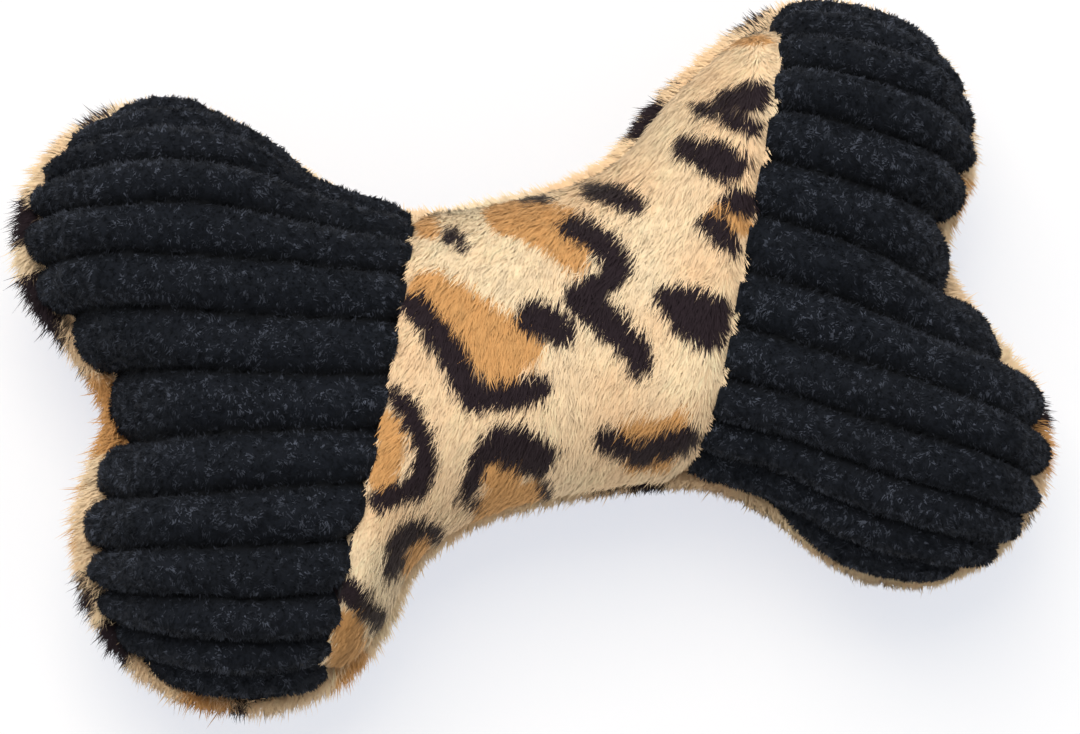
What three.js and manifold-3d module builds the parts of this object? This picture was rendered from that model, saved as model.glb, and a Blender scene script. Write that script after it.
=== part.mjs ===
// A plush bone dog toy lying on its back: four stuffed lobes and a waist, sewn from a front of three
// panels and a one-piece back, filled with fibre round a squeaker. Millimetres, +Z up, X along the bone.

import * as THREE from 'three';
import { mergeVertices } from 'three/addons/utils/BufferGeometryUtils.js';
import Module from 'manifold-3d';

const wasm = await Module();
wasm.setup();

// Sewn edge seen from the front: the four lobes, as arcs anticlockwise from `start` to `end` degrees
const upperRightLobe = { x: 58, y: 31, radius: 27, start: -22, end: 132 };
const upperLeftLobe = { x: -65.5, y: 27.5, radius: 25.5, start: 52, end: 197 };
const lowerLeftLobe = { x: -58, y: -28.5, radius: 29.5, start: 158, end: 328 };
const lowerRightLobe = { x: 65, y: -25.5, radius: 26, start: 232, end: 377 };

// Sewn edge between the lobes: the waist, right to left above and left to right below, and the end notches
const upperWaist = [[26, 41], [15.5, 31.5], [-3.5, 28], [-23, 28], [-38, 37.5]];
const lowerWaist = [[-28.5, -36.5], [-14.5, -29.5], [4.5, -27.5], [27.5, -28.5], [40.5, -37]];
const leftNotch = [-78.5, -1.5];
const rightNotch = [75.5, 7];

// Swell of the stuffing: heights above and below the seam, and the nearly level crown of each lobe
const frontLobeHeight = 29;
const frontWaistHeight = 26;
const backLobeHeight = 26.5;
const backWaistHeight = 23.5;
const notchDip = 3;
const lobeCrownRadius = 7;
const waistCrownWidth = 11;
const notchCrownInset = 23;
const restFlatDepth = 0.5;

// Cloth, seams and thread
const clothThickness = 3;
const seamGap = 1.6;
const threadDiameter = 1;
const threadInset = 1.5;
const joinSlant = 0.31;
const leftJoinX = -29.5;
const rightJoinX = 31.5;
const joinThreadDepth = 1.5;
const closingLength = 60;
const threadEndGap = 0.4;
const threadStep = 7;
const fillClearance = 0.6;
const fillGap = 0.6;

// Corduroy: ridges along each end of the bone, at their own angle from X in degrees
const waleWidth = 10.2;
const waleGrooveDepth = 1.5;
const leftWaleAngle = -7;
const leftFirstGroove = 1.7;
const rightWaleAngle = -22;
const rightFirstGroove = 5.2;
const waleMargin = 2.5;

// Squeaker, upright in the waist, and its reed
const baseRadius = 16.2;
const baseBottom = 15;
const baseTop = 29;
const bulbWall = 1.2;
const slideClearance = 0.35;
const domeBottom = 24;
const domeTop = 42;
const bulbRounding = 3;
const domeCrown = 1;
const pocketClearance = 0.6;
const holderRadius = 4.2;
const holderBore = 2.8;
const holderBottom = 11.5;
const holderTop = 21;
const flangeRadius = 6;
const flangeThickness = 1.4;
const plugClearance = 0.3;
const clipLength = 4;
const reedWidth = 3;
const reedThickness = 0.3;
const reedLength = 8;
const reedInset = 1;

const edgeSamplesPerPoint = 2;
const swellAngles = [0, 16, 34, 53, 72, 90];
const seamHeight = backLobeHeight - restFlatDepth + seamGap / 2;
const waistMiddleY = 1;

// Control points of the sewn edge, each with the point of the crown that its swell rises to
function lobePoints(lobe, count) {
  const points = [];
  for (let i = 0; i < count; i += 1) {
    const angle = THREE.MathUtils.degToRad(lobe.start + (lobe.end - lobe.start) * i / (count - 1));
    const ray = [Math.cos(angle), Math.sin(angle)];
    points.push({
      edge: [lobe.x + lobe.radius * ray[0], lobe.y + lobe.radius * ray[1]],
      crown: [lobe.x + lobeCrownRadius * ray[0], lobe.y + lobeCrownRadius * ray[1]],
      part: 'lobe',
    });
  }
  return points;
}

function waistPoints(edgePoints, side) {
  return edgePoints.map((edge) => ({
    edge,
    crown: [edge[0], waistMiddleY + side * waistCrownWidth / 2],
    part: 'waist',
  }));
}

function notchPoint(edge, inward) {
  return { edge, crown: [edge[0] + inward * notchCrownInset, edge[1]], part: 'notch' };
}

const controlPoints = [
  ...lobePoints(upperRightLobe, 6),
  ...waistPoints(upperWaist, 1),
  ...lobePoints(upperLeftLobe, 6),
  notchPoint(leftNotch, 1),
  ...lobePoints(lowerLeftLobe, 6),
  ...waistPoints(lowerWaist, -1),
  ...lobePoints(lowerRightLobe, 6),
  notchPoint(rightNotch, -1),
];

function closedCurve(points) {
  return new THREE.CatmullRomCurve3(points, true, 'centripetal');
}

const edgeCurve = closedCurve(controlPoints.map((p) => new THREE.Vector3(p.edge[0], p.edge[1], 0)));
const edgeCount = controlPoints.length * edgeSamplesPerPoint;

// Edge samples moved inwards by `inset`, along the edge's own normal
function edgeRing(inset) {
  const ring = [];
  for (let i = 0; i < edgeCount; i += 1) {
    const point = edgeCurve.getPoint(i / edgeCount);
    const along = edgeCurve.getTangent(i / edgeCount);
    ring.push(new THREE.Vector2(point.x - along.y * inset, point.y + along.x * inset));
  }
  return ring;
}

function crownRing(lobeHeight, waistHeight) {
  const heights = { lobe: lobeHeight, waist: waistHeight, notch: lobeHeight - notchDip };
  const curve = closedCurve(controlPoints.map(
    (p) => new THREE.Vector3(p.crown[0], p.crown[1], heights[p.part])));
  const ring = [];
  for (let i = 0; i < edgeCount; i += 1) {
    ring.push(curve.getPoint(i / edgeCount));
  }
  return ring;
}

function meshFrom(vertices, faces) {
  const geometry = new THREE.BufferGeometry();
  geometry.setAttribute('position', new THREE.Float32BufferAttribute(vertices.flat(), 3));
  geometry.setIndex(faces.flat());
  return geometry;
}

// One stuffed half: rings rise from the edge to the crown in a quarter ellipse, closed by a flat underside.
// `direction` is 1 for the front and -1 for the back, and `skirt` carries the underside past the seam.
function stuffedHalf({ inset, lobeHeight, waistHeight, direction, skirt }) {
  const edge = edgeRing(inset);
  const crown = crownRing(lobeHeight - inset, waistHeight - inset);
  const seam = seamHeight + direction * seamGap / 2;
  const vertices = edge.map((p) => [p.x, p.y, seam - direction * skirt]);
  const rings = skirt > 0 ? 1 : 0;
  for (const angle of swellAngles) {
    const out = Math.cos(THREE.MathUtils.degToRad(angle));
    const up = Math.sin(THREE.MathUtils.degToRad(angle));
    if (angle === 0 && rings === 0) {
      continue;
    }
    for (let i = 0; i < edgeCount; i += 1) {
      vertices.push([
        crown[i].x + (edge[i].x - crown[i].x) * out,
        crown[i].y + (edge[i].y - crown[i].y) * out,
        seam + direction * crown[i].z * up,
      ]);
    }
  }
  const faces = [];
  const addFace = (a, b, c) => faces.push(direction > 0 ? [a, b, c] : [a, c, b]);
  const lastRing = vertices.length / edgeCount - 1;
  for (let ring = 0; ring < lastRing; ring += 1) {
    for (let i = 0; i < edgeCount; i += 1) {
      const next = (i + 1) % edgeCount;
      const low = ring * edgeCount;
      const high = low + edgeCount;
      addFace(low + i, low + next, high + next);
      addFace(low + i, high + next, high + i);
    }
  }
  const top = lastRing * edgeCount;
  const crownOutline = crown.map((p) => new THREE.Vector2(p.x, p.y));
  for (const [a, b, c] of THREE.ShapeUtils.triangulateShape(crownOutline, [])) {
    addFace(top + a, top + b, top + c);
  }
  for (const [a, b, c] of THREE.ShapeUtils.triangulateShape(edge, [])) {
    addFace(a, c, b);
  }
  return solidFrom(meshFrom(vertices, faces));
}

function solidFrom(geometry) {
  const bare = geometry.clone();
  bare.deleteAttribute('normal');
  bare.deleteAttribute('uv');
  const merged = mergeVertices(bare, 1e-4);
  return new wasm.Manifold(new wasm.Mesh({
    numProp: 3,
    vertProperties: new Float32Array(merged.attributes.position.array),
    triVerts: new Uint32Array(merged.index.array),
  }));
}

function geometryFrom(solid) {
  const mesh = solid.getMesh();
  const geometry = new THREE.BufferGeometry();
  geometry.setAttribute('position', new THREE.BufferAttribute(mesh.vertProperties, 3));
  geometry.setIndex(new THREE.BufferAttribute(mesh.triVerts, 1));
  const faceted = geometry.toNonIndexed();
  faceted.computeVertexNormals();
  return faceted;
}

// Upright block on an outline, used to cut the panels and the filling apart
function upright(outline, low, high) {
  const shape = new THREE.Shape(outline.map(([x, y]) => new THREE.Vector2(x, y)));
  const geometry = new THREE.ExtrudeGeometry(shape, { depth: high - low, bevelEnabled: false });
  geometry.translate(0, 0, low);
  return solidFrom(geometry);
}

const reach = 200;
const farBelow = -20;
const farAbove = 90;
const slantWiden = Math.hypot(1, joinSlant);

// The stretch between two slanted joins, each given as its X on the bone's axis
function slantedBlock(fromX, toX, fromY = -reach, toY = reach, low = farBelow, high = farAbove) {
  return upright([
    [fromX + joinSlant * fromY, fromY],
    [toX + joinSlant * fromY, fromY],
    [toX + joinSlant * toY, toY],
    [fromX + joinSlant * toY, toY],
  ], low, high);
}

const frontSide = { lobeHeight: frontLobeHeight, waistHeight: frontWaistHeight, direction: 1 };
const backSide = { lobeHeight: backLobeHeight, waistHeight: backWaistHeight, direction: -1 };
const innerSkirt = 6;
const farLeft = -3 * reach;
const farRight = 3 * reach;
const joinHalfGap = seamGap / 2 * slantWiden;

// Covers
const frontShell = stuffedHalf({ inset: 0, skirt: 0, ...frontSide })
  .subtract(stuffedHalf({ inset: clothThickness, skirt: innerSkirt, ...frontSide }));
const frontLeft = frontShell.intersect(slantedBlock(farLeft, leftJoinX - joinHalfGap));
const frontCentre = frontShell.intersect(slantedBlock(leftJoinX + joinHalfGap, rightJoinX - joinHalfGap));
const frontRight = frontShell.intersect(slantedBlock(rightJoinX + joinHalfGap, farRight));
const back = stuffedHalf({ inset: 0, skirt: 0, ...backSide })
  .subtract(stuffedHalf({ inset: clothThickness, skirt: innerSkirt, ...backSide }))
  .subtract(slantedBlock(farLeft, farRight, -reach, reach, farBelow, 0));

// A round section drawn along a line of points
function drawn(points, diameter, steps = points.length - 1) {
  const section = new THREE.Shape();
  const sides = 6;
  for (let i = 0; i < sides; i += 1) {
    const angle = 2 * Math.PI * i / sides;
    const x = diameter / 2 * Math.cos(angle);
    const y = diameter / 2 * Math.sin(angle);
    if (i === 0) {
      section.moveTo(x, y);
    } else {
      section.lineTo(x, y);
    }
  }
  section.closePath();
  const path = new THREE.CatmullRomCurve3(points, false, 'centripetal');
  return new THREE.ExtrudeGeometry(section, { extrudePath: path, steps, bevelEnabled: false });
}

// Wales: grooves run over the stuffed front, a wale apart as measured over the cloth
const frontForm = new THREE.Mesh(geometryFrom(stuffedHalf({ inset: 0, skirt: 0, ...frontSide })));
const plumbLine = new THREE.Raycaster();

function frontPoint(x, y) {
  plumbLine.set(new THREE.Vector3(x, y, farAbove), new THREE.Vector3(0, 0, -1));
  const hit = plumbLine.intersectObject(frontForm)[0];
  return hit ? hit.point : null;
}

const waleSampling = 1;
const groovePointSpacing = 8;

function grooveLine(start, along, isOnPanel) {
  const line = [];
  for (let step = -reach; step < reach; step += waleSampling) {
    const point = frontPoint(start.x + along.x * step, start.y + along.y * step);
    if (point && point.z > seamHeight + waleMargin && isOnPanel(point)) {
      line.push(point);
    }
  }
  const count = Math.max(2, Math.round(line.length * waleSampling / groovePointSpacing));
  const at = (i) => line[Math.round((line.length - 1) * i / count)];
  return line.length < 3 * groovePointSpacing ? null : Array.from({ length: count + 1 }, (_, i) => at(i));
}

// The first groove lies this far over the cloth from the panel's middle, towards +Y
function cutWales(panel, middle, degrees, firstGroove, isOnPanel) {
  const angle = THREE.MathUtils.degToRad(degrees);
  const along = new THREE.Vector2(Math.cos(angle), Math.sin(angle));
  const across = new THREE.Vector2(-along.y, along.x);
  let cut = panel;
  for (const side of [1, -1]) {
    let overCloth = side > 0 ? waleWidth - firstGroove : firstGroove;
    let last = frontPoint(middle.x, middle.y);
    for (let step = waleSampling; step < reach; step += waleSampling) {
      const point = frontPoint(middle.x + across.x * side * step, middle.y + across.y * side * step);
      if (!point) {
        break;
      }
      overCloth += point.distanceTo(last);
      last = point;
      if (overCloth >= waleWidth) {
        overCloth -= waleWidth;
        const line = grooveLine(point, along, isOnPanel);
        if (line) {
          cut = cut.subtract(solidFrom(drawn(line, 2 * waleGrooveDepth)));
        }
      }
    }
  }
  return largestPiece(cut);
}

// A groove that runs out close to the edge may part a sliver of cloth, which is left off
function largestPiece(solid) {
  return solid.decompose().sort((a, b) => b.volume() - a.volume())[0];
}

const pastJoin = 4;
const middleOf = (a, b) => new THREE.Vector2((a.x + b.x) / 2, (a.y + b.y) / 2);
const leftWales = cutWales(frontLeft, middleOf(upperLeftLobe, lowerLeftLobe), leftWaleAngle, leftFirstGroove,
  (p) => p.x - joinSlant * p.y < leftJoinX + pastJoin);
const rightWales = cutWales(frontRight, middleOf(upperRightLobe, lowerRightLobe), rightWaleAngle,
  rightFirstGroove, (p) => p.x - joinSlant * p.y > rightJoinX - pastJoin);

// The closing stretch starts where the lower waist does; the rest of the seam is the machine-sewn edge
const lowerWaistStart = controlPoints.findIndex((p) => p.edge === lowerWaist[0]) * edgeSamplesPerPoint;
const seamRing = edgeRing(threadInset).map((p) => new THREE.Vector3(p.x, p.y, seamHeight));
const seamLine = closedCurve([...seamRing.slice(lowerWaistStart), ...seamRing.slice(0, lowerWaistStart)]);
seamLine.arcLengthDivisions = edgeCount * 8;
const seamLength = seamLine.getLength();

function seamStretch(from, to) {
  const steps = Math.ceil((to - from) / threadStep);
  const points = [];
  for (let i = 0; i <= steps; i += 1) {
    points.push(seamLine.getPointAt((from + (to - from) * i / steps) / seamLength));
  }
  return points;
}

const closingPoints = seamStretch(threadEndGap, closingLength);
const edgePoints = seamStretch(closingLength + threadEndGap, seamLength);

// A join's thread follows the cover's middle from edge to edge, clear of the edge seam
const joinSteps = 14;
const joinEndAngle = 12;

function joinPath(joinX) {
  const depth = joinThreadDepth;
  const edge = edgeRing(depth);
  const crown = crownRing(frontLobeHeight - depth, frontWaistHeight - depth);
  const crossing = (p) => p.x - joinX - joinSlant * p.y;
  const seam = seamHeight + seamGap / 2;
  const rise = (rays) => rays.map(({ i, blend, angle }) => {
    const next = (i + 1) % edgeCount;
    const rim = edge[i].clone().lerp(edge[next], blend);
    const peak = crown[i].clone().lerp(crown[next], blend);
    const out = Math.cos(angle);
    const y = peak.y + (rim.y - peak.y) * out;
    return new THREE.Vector3(joinX + joinSlant * y, y, seam + peak.z * Math.sin(angle));
  });
  const half = (side) => {
    const rays = [];
    for (let step = 0; step <= joinSteps / 2 - 1; step += 1) {
      const degrees = joinEndAngle + (90 - joinEndAngle) * step / (joinSteps / 2 - 1);
      const angle = THREE.MathUtils.degToRad(degrees);
      const at = (i) => crossing({
        x: crown[i].x + (edge[i].x - crown[i].x) * Math.cos(angle),
        y: crown[i].y + (edge[i].y - crown[i].y) * Math.cos(angle),
      });
      for (let i = 0; i < edgeCount; i += 1) {
        const next = (i + 1) % edgeCount;
        const onSide = Math.sign(crown[i].y - waistMiddleY) === side;
        if (onSide && at(i) * at(next) <= 0 && Math.abs(crown[i].x - joinX) < reach / 4) {
          rays.push({ i, blend: at(i) / (at(i) - at(next)), angle });
          break;
        }
      }
    }
    return rise(rays);
  };
  return [...half(1), ...half(-1).reverse()];
}

// Filling: the space inside the covers, parted at the joins and between the lobes
const fillInset = clothThickness + fillClearance;
const seamBand = seamGap + 2;
const filling = stuffedHalf({ inset: fillInset, skirt: seamBand, ...frontSide })
  .add(stuffedHalf({ inset: fillInset, skirt: seamBand, ...backSide }));
const fillHalfGap = fillGap / 2 * slantWiden;
const leftFill = filling.intersect(slantedBlock(farLeft, leftJoinX - fillHalfGap));
const rightFill = filling.intersect(slantedBlock(rightJoinX + fillHalfGap, farRight));
const middleFill = filling.intersect(slantedBlock(leftJoinX + fillHalfGap, rightJoinX - fillHalfGap));

function above(y) {
  return slantedBlock(farLeft, farRight, y + fillGap / 2, reach);
}

function below(y) {
  return slantedBlock(farLeft, farRight, -reach, y - fillGap / 2);
}

// Squeaker: turned pieces about the upright axis
const turnSegments = 28;

function turned(profile, segments = turnSegments) {
  const geometry = new THREE.LatheGeometry(profile.map(([r, z]) => new THREE.Vector2(r, z)), segments);
  geometry.rotateX(Math.PI / 2);
  return geometry;
}

const baseBore = holderRadius + plugClearance;
const baseInner = baseRadius - bulbWall;
const squeakerBase = turned([
  [baseBore, baseBottom],
  [baseRadius - bulbRounding, baseBottom],
  [baseRadius - bulbRounding / 3, baseBottom + bulbRounding / 3],
  [baseRadius, baseBottom + bulbRounding],
  [baseRadius, baseTop],
  [baseInner, baseTop],
  [baseInner, baseBottom + bulbRounding],
  [baseInner - bulbRounding / 2, baseBottom + bulbWall],
  [baseBore, baseBottom + bulbWall],
  [baseBore, baseBottom],
]);

const domeInner = baseRadius + slideClearance;
const domeRadius = domeInner + bulbWall;
const squeakerDome = turned([
  [0, domeTop - bulbWall],
  [domeInner - bulbRounding, domeTop - bulbWall - domeCrown],
  [domeInner - bulbRounding / 4, domeTop - bulbWall - bulbRounding / 2],
  [domeInner, domeTop - bulbWall - bulbRounding],
  [domeInner, domeBottom],
  [domeRadius, domeBottom],
  [domeRadius, domeTop - bulbRounding],
  [domeRadius - bulbRounding / 4, domeTop - bulbRounding / 2],
  [domeRadius - bulbRounding, domeTop - domeCrown],
  [0, domeTop],
]);

const flangeTop = baseBottom - plugClearance;
const holderSegments = 20;
const reedHolder = turned([
  [holderBore, holderBottom],
  [holderRadius, holderBottom],
  [holderRadius, flangeTop - flangeThickness],
  [flangeRadius, flangeTop - flangeThickness],
  [flangeRadius, flangeTop],
  [holderRadius, flangeTop],
  [holderRadius, holderTop],
  [holderBore, holderTop],
  [holderBore, holderBottom],
], holderSegments);

// The clip fills one half of the bore's foot, with the reed lying along its flat
const clipRadius = holderBore - plugClearance;
const reedBottom = holderBottom + reedInset;
const clipFace = -reedThickness / 2 - plugClearance;
const reedClip = new THREE.ExtrudeGeometry(halfRound(clipRadius, clipFace), {
  depth: clipLength,
  bevelEnabled: false,
});
reedClip.translate(0, 0, holderBottom);

function halfRound(radius, flatY) {
  const shape = new THREE.Shape();
  const start = Math.PI - Math.asin(flatY / radius);
  const end = 2 * Math.PI + Math.asin(flatY / radius);
  shape.absarc(0, 0, radius, start, end, false);
  shape.closePath();
  return shape;
}

const reedTongue = new THREE.BoxGeometry(reedWidth, reedThickness, reedLength);
reedTongue.translate(0, 0, reedBottom + reedLength / 2);

// The pocket that the squeaker beds into, with room for the plug below it
const pocketRadius = domeRadius + pocketClearance;
const pocket = solidFrom(turned([
  [0, baseBottom - pocketClearance],
  [pocketRadius, baseBottom - pocketClearance],
  [pocketRadius, domeTop + pocketClearance],
  [0, domeTop + pocketClearance],
])).add(solidFrom(turned([
  [0, holderBottom - pocketClearance],
  [flangeRadius + pocketClearance, holderBottom - pocketClearance],
  [flangeRadius + pocketClearance, baseTop],
  [0, baseTop],
], holderSegments)));

const pocketedFill = middleFill.subtract(pocket);
const fillSplit = (baseBottom + domeTop) / 2;
const frontFill = pocketedFill.intersect(
  slantedBlock(farLeft, farRight, -reach, reach, fillSplit + fillGap / 2, farAbove));
const backFill = pocketedFill.intersect(
  slantedBlock(farLeft, farRight, -reach, reach, farBelow, fillSplit - fillGap / 2));

// Finishes
const corduroy = { color: 0x1b1c20, roughness: 0.95, metalness: 0 };
const printedPlush = { color: 0xdcbd8c, roughness: 0.95, metalness: 0 };
const sewingThread = { color: 0x2a2627, roughness: 0.8, metalness: 0 };
const fibre = { color: 0xf0efeb, roughness: 1, metalness: 0 };
const softPlastic = { color: 0xe9e7df, roughness: 0.45, metalness: 0 };
const reedFilm = { color: 0xd5d9dc, roughness: 0.3, metalness: 0 };

const toy = new THREE.Group();
toy.name = 'plush_bone_toy';

function add(name, geometry, finish) {
  const mesh = new THREE.Mesh(geometry, new THREE.MeshStandardMaterial(finish));
  mesh.name = name;
  toy.add(mesh);
}

add('front_left_panel', geometryFrom(leftWales), corduroy);
add('front_centre_panel', geometryFrom(frontCentre), printedPlush);
add('front_right_panel', geometryFrom(rightWales), corduroy);
add('back_panel', geometryFrom(back), printedPlush);
add('left_join_stitch', drawn(joinPath(leftJoinX), threadDiameter, joinSteps), sewingThread);
add('right_join_stitch', drawn(joinPath(rightJoinX), threadDiameter, joinSteps), sewingThread);
add('edge_stitch', drawn(edgePoints, threadDiameter), sewingThread);
add('closing_stitch', drawn(closingPoints, threadDiameter), sewingThread);
add('fill_upper_left', geometryFrom(leftFill.intersect(above(leftNotch[1]))), fibre);
add('fill_lower_left', geometryFrom(leftFill.intersect(below(leftNotch[1]))), fibre);
add('fill_upper_right', geometryFrom(rightFill.intersect(above(rightNotch[1]))), fibre);
add('fill_lower_right', geometryFrom(rightFill.intersect(below(rightNotch[1]))), fibre);
add('fill_middle_front', geometryFrom(frontFill), fibre);
add('fill_middle_back', geometryFrom(backFill), fibre);
add('squeaker_base', squeakerBase, softPlastic);
add('squeaker_dome', squeakerDome, softPlastic);
add('reed_holder', reedHolder, softPlastic);
add('reed_clip', reedClip, softPlastic);
add('reed_tongue', reedTongue, reedFilm);

export default toy;
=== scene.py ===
import math

import bmesh
import bpy
import numpy as np
from mathutils import Matrix, Vector
from mathutils.bvhtree import BVHTree
from mathutils.geometry import delaunay_2d_cdt


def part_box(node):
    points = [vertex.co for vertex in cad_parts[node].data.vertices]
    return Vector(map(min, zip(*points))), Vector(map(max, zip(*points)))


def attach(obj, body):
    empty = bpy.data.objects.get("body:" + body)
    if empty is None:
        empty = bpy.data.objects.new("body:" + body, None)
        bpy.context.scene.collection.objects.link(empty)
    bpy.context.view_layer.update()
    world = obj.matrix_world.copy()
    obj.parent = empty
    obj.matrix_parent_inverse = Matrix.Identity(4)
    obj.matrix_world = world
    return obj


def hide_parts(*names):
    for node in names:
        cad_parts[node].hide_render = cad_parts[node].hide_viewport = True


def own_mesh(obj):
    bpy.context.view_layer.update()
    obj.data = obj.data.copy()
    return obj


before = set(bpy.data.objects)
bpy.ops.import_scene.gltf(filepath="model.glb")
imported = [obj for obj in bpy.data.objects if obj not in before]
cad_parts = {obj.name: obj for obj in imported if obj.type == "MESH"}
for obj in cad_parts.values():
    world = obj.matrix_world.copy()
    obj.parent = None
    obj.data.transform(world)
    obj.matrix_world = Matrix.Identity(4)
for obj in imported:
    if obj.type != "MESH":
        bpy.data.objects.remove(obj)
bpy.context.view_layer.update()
scene = bpy.context.scene
scene.view_settings.view_transform = "Standard"
mm = 0.001  # shapes are worked out in millimetres and made in metres
tiny = 1e-9  # keeps divisions off zero
print("frame:", len(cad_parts), "nodes")


def linear(red, green, blue):
    # a screen colour, 0 to 255, as the linear colour that materials take
    part = [c / 255 for c in (red, green, blue)]
    return [c / 12.92 if c <= 0.04045 else ((c + 0.055) / 1.055) ** 2.4 for c in part]


def smoothStep(low, high, value):
    t = np.clip((value - low) / (high - low), 0, 1)
    return t * t * (3 - 2 * t)


def unit(vectors):
    return vectors / np.maximum(np.linalg.norm(vectors, axis=-1, keepdims=True), tiny)


def blend(first, second, share):
    return np.array(first) * (1 - share) + np.array(second) * share


def lattice(x, y, z, seed):
    # a scrambled value from 0 to 1 for each whole-numbered place
    mixed = (x * 374761393 + y * 668265263 + z * 1274126177 + seed * 974634599) & 0xFFFFFFFF
    mixed = ((mixed ^ (mixed >> 13)) * 1103515245) & 0xFFFFFFFF
    mixed = mixed ^ (mixed >> 16)
    return (mixed & 0xFFFFFF) / 0xFFFFFF


def noise(points, size, seed):
    # smooth noise from -1 to 1 whose blotches are about size across
    place = np.zeros((len(points), 3))
    place[:, :points.shape[1]] = points / size
    cell = np.floor(place).astype(np.int64)
    inside = place - cell
    inside = inside * inside * (3 - 2 * inside)
    total = np.zeros(len(points))
    for corner in np.ndindex(2, 2, 2):
        share = np.ones(len(points))
        for axis, step in enumerate(corner):
            share = share * (inside[:, axis] if step else 1 - inside[:, axis])
        total += share * lattice(*(cell + corner).T, seed)
    return 2 * total - 1


def varied(points, change, seed, axes=None):
    # noise of a given size and amount, one value a point or one for each axis
    size, amount = change
    if axes is None:
        return amount * noise(points, size, seed)
    return np.stack([amount * noise(points, size, seed + i) for i in range(axes)], 1)


def atLeast(least, share):
    return least + (1 - least) * share


# the stuffed form: four lobes and a waist, swelling from the sewn edge on both sides
stuffing = {
    "edgePoints": 480,
    "riseWidth": 20.0,  # from the edge in to the crown
    "waistDrop": 3.0,  # in front, from the lobes' crown down to the waist's
    "lobeFoot": -0.5,
    "waistFoot": 2.5,
    "waistEnds": (16, 50),  # along X, where the waist's height turns into the lobes'
    "notchReach": 18,
    "notchDip": 3.0,
    "startLow": 1.5,  # the cloth starts this much slack
    "voxel": 3.2,
    "cloth": {"quality": 6, "mass": 0.2, "tension_stiffness": 12, "compression_stiffness": 12,
              "shear_stiffness": 6, "bending_stiffness": 0.3, "use_pressure": True,
              "uniform_pressure_force": 4.0},
    "frames": 20,
    "mostSwell": 3.0,
}
seamZ = (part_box("back_panel")[1].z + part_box("front_left_panel")[0].z) / 2 / mm
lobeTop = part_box("front_left_panel")[1].z / mm


def sewnEdge(nodeName, merge=1e-6, near=1e-5, upright=0.9):
    # the outer loop of the panel's upper face, anticlockwise
    bm = bmesh.new()
    bm.from_mesh(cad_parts[nodeName].data)
    bmesh.ops.remove_doubles(bm, verts=bm.verts, dist=merge)
    bm.verts.index_update()
    top = max(v.co.z for v in bm.verts)
    beside = {}
    for edge in bm.edges:
        level = all(top - v.co.z < near for v in edge.verts)
        if level and sum(f.normal.z > upright for f in edge.link_faces) == 1:
            a, b = edge.verts
            beside.setdefault(a, []).append(b)
            beside.setdefault(b, []).append(a)
    waiting = sorted(beside, key=lambda v: v.index)
    loops = []
    while waiting:
        loop, onward = [], waiting[:1]
        while onward:
            loop.append(onward[0])
            waiting.remove(onward[0])
            onward = [v for v in beside[loop[-1]] if v in waiting]
        loops.append(np.array([(v.co.x / mm, v.co.y / mm) for v in loop]))
    bm.free()
    outer = max(loops, key=lambda p: np.ptp(p[:, 0]))
    turn = np.sum(outer[:, 0] * np.roll(outer[:, 1], -1) - outer[:, 1] * np.roll(outer[:, 0], -1))
    return outer if turn > 0 else outer[::-1]


def lengthAlong(line):
    return np.concatenate([[0], np.cumsum(np.linalg.norm(np.diff(line, axis=0), axis=1))])


def closedCurve(points, count, steps=12):
    # even points along a smooth closed curve through the given ones
    before, after, beyond = np.roll(points, 1, 0), np.roll(points, -1, 0), np.roll(points, -2, 0)
    fine = []
    for t in np.linspace(0, 1, steps, endpoint=False):
        fine.append(0.5 * (2 * points + (after - before) * t
                           + (2 * before - 5 * points + 4 * after - beyond) * t ** 2
                           + (3 * points - before - 3 * after + beyond) * t ** 3))
    line = np.stack(fine, 1).reshape(-1, 2)
    line = np.vstack([line, line[:1]])
    along = lengthAlong(line)
    at = np.linspace(0, along[-1], count, endpoint=False)
    return np.stack([np.interp(at, along, line[:, i]) for i in (0, 1)], 1)


def evened(ways, width=11):
    # directions round a closed line, averaged over their neighbours
    window = np.hanning(width)
    wrapped = np.concatenate([ways[-(width // 2):], ways, ways[:width // 2]])
    return unit(np.stack([np.convolve(wrapped[:, i], window / window.sum(), "valid") for i in (0, 1)], 1))


edgeLine = closedCurve(sewnEdge("back_panel"), stuffing["edgePoints"])
edgeAlong = unit(np.roll(edgeLine, -1, 0) - np.roll(edgeLine, 1, 0))
edgeInward = evened(np.stack([-edgeAlong[:, 1], edgeAlong[:, 0]], 1))


def notchPoint(end, band=15):
    # the edge's innermost point in the notch at that end of the bone
    near = (np.abs(edgeLine[:, 1]) < band) & (edgeLine[:, 0] * end > 0)
    return edgeLine[np.argmin(np.where(near, np.abs(edgeLine[:, 0]), np.inf))]


notches = [notchPoint(-1), notchPoint(1)]


def slackRise(places, side):
    # how far the slack cloth's crown stands off the seam, in front or behind
    if side > 0:
        waist, lobe = lobeTop - stuffing["waistDrop"] - seamZ, lobeTop - seamZ
    else:
        waist, lobe = seamZ - stuffing["waistFoot"], seamZ - stuffing["lobeFoot"]
    rise = waist + (lobe - waist) * smoothStep(*stuffing["waistEnds"], np.abs(places[:, 0]))
    for notch in notches:
        reach = np.sum((places - notch) ** 2, 1) / stuffing["notchReach"] ** 2
        rise = rise - stuffing["notchDip"] * np.exp(-reach)
    return rise - stuffing["startLow"]


def addObject(name, data):
    made = bpy.data.objects.new(name, data)
    scene.collection.objects.link(made)
    return made


def finalMesh(source):
    # the object's mesh with its modifiers applied
    bpy.context.view_layer.update()
    ready = source.evaluated_get(bpy.context.evaluated_depsgraph_get())
    return bpy.data.meshes.new_from_object(ready)


def corners(mesh):
    flat = np.empty(len(mesh.vertices) * 3, np.float32)
    mesh.vertices.foreach_get("co", flat)
    return flat.reshape(-1, 3).astype(float) / mm


def setCorners(mesh, points):
    mesh.vertices.foreach_set("co", (points * mm).astype(np.float32).ravel())
    mesh.update()


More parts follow.
